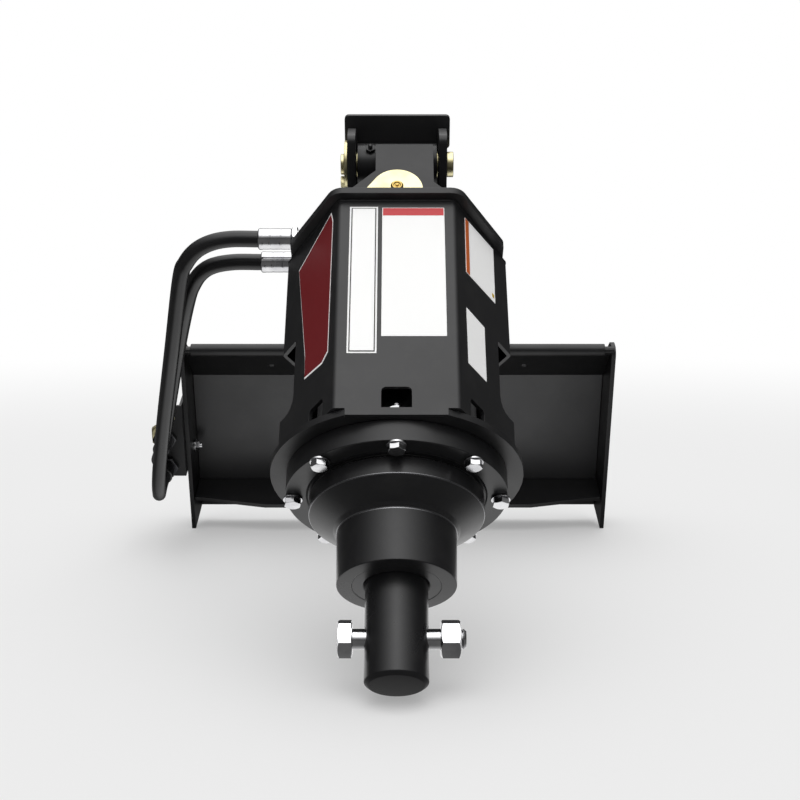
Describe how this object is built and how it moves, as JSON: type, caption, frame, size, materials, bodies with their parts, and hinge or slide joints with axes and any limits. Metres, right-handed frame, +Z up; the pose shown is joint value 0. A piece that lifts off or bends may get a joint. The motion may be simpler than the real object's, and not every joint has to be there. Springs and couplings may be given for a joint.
{
  "type": "earth auger drive",
  "caption": "Hydraulic planetary auger drive in a hexagonal hood, hung by a two-axis knuckle from a loader mount plate.",
  "frame": {"origin": "middle of the mount plate's rear face", "axes": "+Z up, the drive reaches forward along -Y, +X to the right seen from the drive's front"},
  "size_m": [0.5591, 0.7871, 0.4832],
  "materials": {
    "black_paint": "semi-gloss black powder coat",
    "yellow_zinc": "yellow zinc plate",
    "bright_plating": "bright plated",
    "machined_steel": "machined",
    "bronze": "machined",
    "brass": "polished",
    "hose_rubber": "matt",
    "dark_plating": "dark plated"
  },
  "bodies": {
    "frame": {"boom_belly_plate": "black_paint", "boom_cheek_left": "black_paint", "boom_cheek_right": "black_paint", "boom_spine_plate": "black_paint", "bottom_shelf": "black_paint", "bracket_bolt": "bright_plating", "cap_plate": "black_paint", "coupler_bracket": "black_paint", "hose_end_lower": "dark_plating", "hose_end_upper": "dark_plating", "hose_front": "hose_rubber", "hose_rear": "hose_rubber", "lip_bar": "black_paint", "mount_face": "black_paint", "pin_lock_bolt": "machined_steel", "quick_coupler_lower": "yellow_zinc", "quick_coupler_upper": "yellow_zinc", "side_plate_left": "black_paint", "side_plate_right": "black_paint", "thrust_washer_left": "yellow_zinc", "thrust_washer_right": "yellow_zinc", "top_flange": "black_paint", "upper_pin": "yellow_zinc", "upper_pin_collar": "yellow_zinc"},
    "knuckle": {"knuckle_block": "black_paint", "knuckle_bush_left": "bronze", "knuckle_bush_right": "bronze", "knuckle_grease_fitting": "dark_plating"},
    "drive": {"ear_front": "black_paint", "ear_rear": "black_paint", "flange_bolt_1": "bright_plating", "flange_bolt_2": "bright_plating", "flange_bolt_3": "bright_plating", "flange_bolt_4": "bright_plating", "flange_bolt_5": "bright_plating", "flange_bolt_6": "bright_plating", "flange_bolt_7": "bright_plating", "flange_bolt_8": "bright_plating", "gear_case": "machined_steel", "gearbox_cover": "black_paint", "hood": "black_paint", "hose_ferrule_front": "bright_plating", "hose_ferrule_rear": "bright_plating", "hydraulic_motor": "black_paint", "lower_pin": "yellow_zinc", "lower_pin_clip": "machined_steel", "lower_pin_nipple": "brass", "port_elbow_front": "dark_plating", "port_elbow_rear": "dark_plating", "rim_plate": "black_paint", "ring_plate": "black_paint", "shaft_bearing": "machined_steel", "shaft_seal": "black_paint"},
    "shaft": {"output_shaft": "black_paint", "cross_bolt": "bright_plating", "cross_nut": "bright_plating"},
    "sun": {"sun_gear": "machined_steel"},
    "planet_1": {"planet_gear_1": "machined_steel"},
    "planet_2": {"planet_gear_2": "machined_steel"},
    "planet_3": {"planet_gear_3": "machined_steel"}
  },
  "joints": [
    {"name": "knuckle_swing", "type": "hinge", "parent": "frame", "child": "knuckle", "pos_m": [0, -0.37076, 0.3042], "axis": [1, 0, 0], "range_deg": [0, 65], "deforming": ["hose_front", "hose_rear"]},
    {"name": "side_swing", "type": "hinge", "parent": "knuckle", "child": "drive", "pos_m": [0, -0.41508, 0.25009], "axis": [0, -0.7736, 0.6336], "range_deg": [-25, 25], "deforming": ["hose_front", "hose_rear"]},
    {"name": "shaft_spin", "type": "hinge", "parent": "drive", "child": "shaft", "pos_m": [0, -0.59586, 0.02937], "axis": [0, -0.6336, -0.7736], "continuous": true},
    {"name": "sun_spin", "type": "hinge", "parent": "drive", "child": "sun", "pos_m": [0, -0.56925, 0.06186], "axis": [0, -0.6336, -0.7736], "continuous": true},
    {"name": "planet_1_spin", "type": "hinge", "parent": "shaft", "child": "planet_1", "pos_m": [0.0375, -0.56925, 0.06186], "axis": [0, -0.6336, -0.7736], "continuous": true},
    {"name": "planet_2_spin", "type": "hinge", "parent": "shaft", "child": "planet_2", "pos_m": [-0.01875, -0.54412, 0.04128], "axis": [0, -0.6336, -0.7736], "continuous": true},
    {"name": "planet_3_spin", "type": "hinge", "parent": "shaft", "child": "planet_3", "pos_m": [-0.01875, -0.59437, 0.08244], "axis": [0, -0.6336, -0.7736], "continuous": true}
  ],
  "couplings": [
    {"joint": "sun_spin", "follows": "shaft_spin", "ratio": 5},
    {"joint": "planet_1_spin", "follows": "shaft_spin", "ratio": -2.6667},
    {"joint": "planet_2_spin", "follows": "shaft_spin", "ratio": -2.6667},
    {"joint": "planet_3_spin", "follows": "shaft_spin", "ratio": -2.6667}
  ]
}
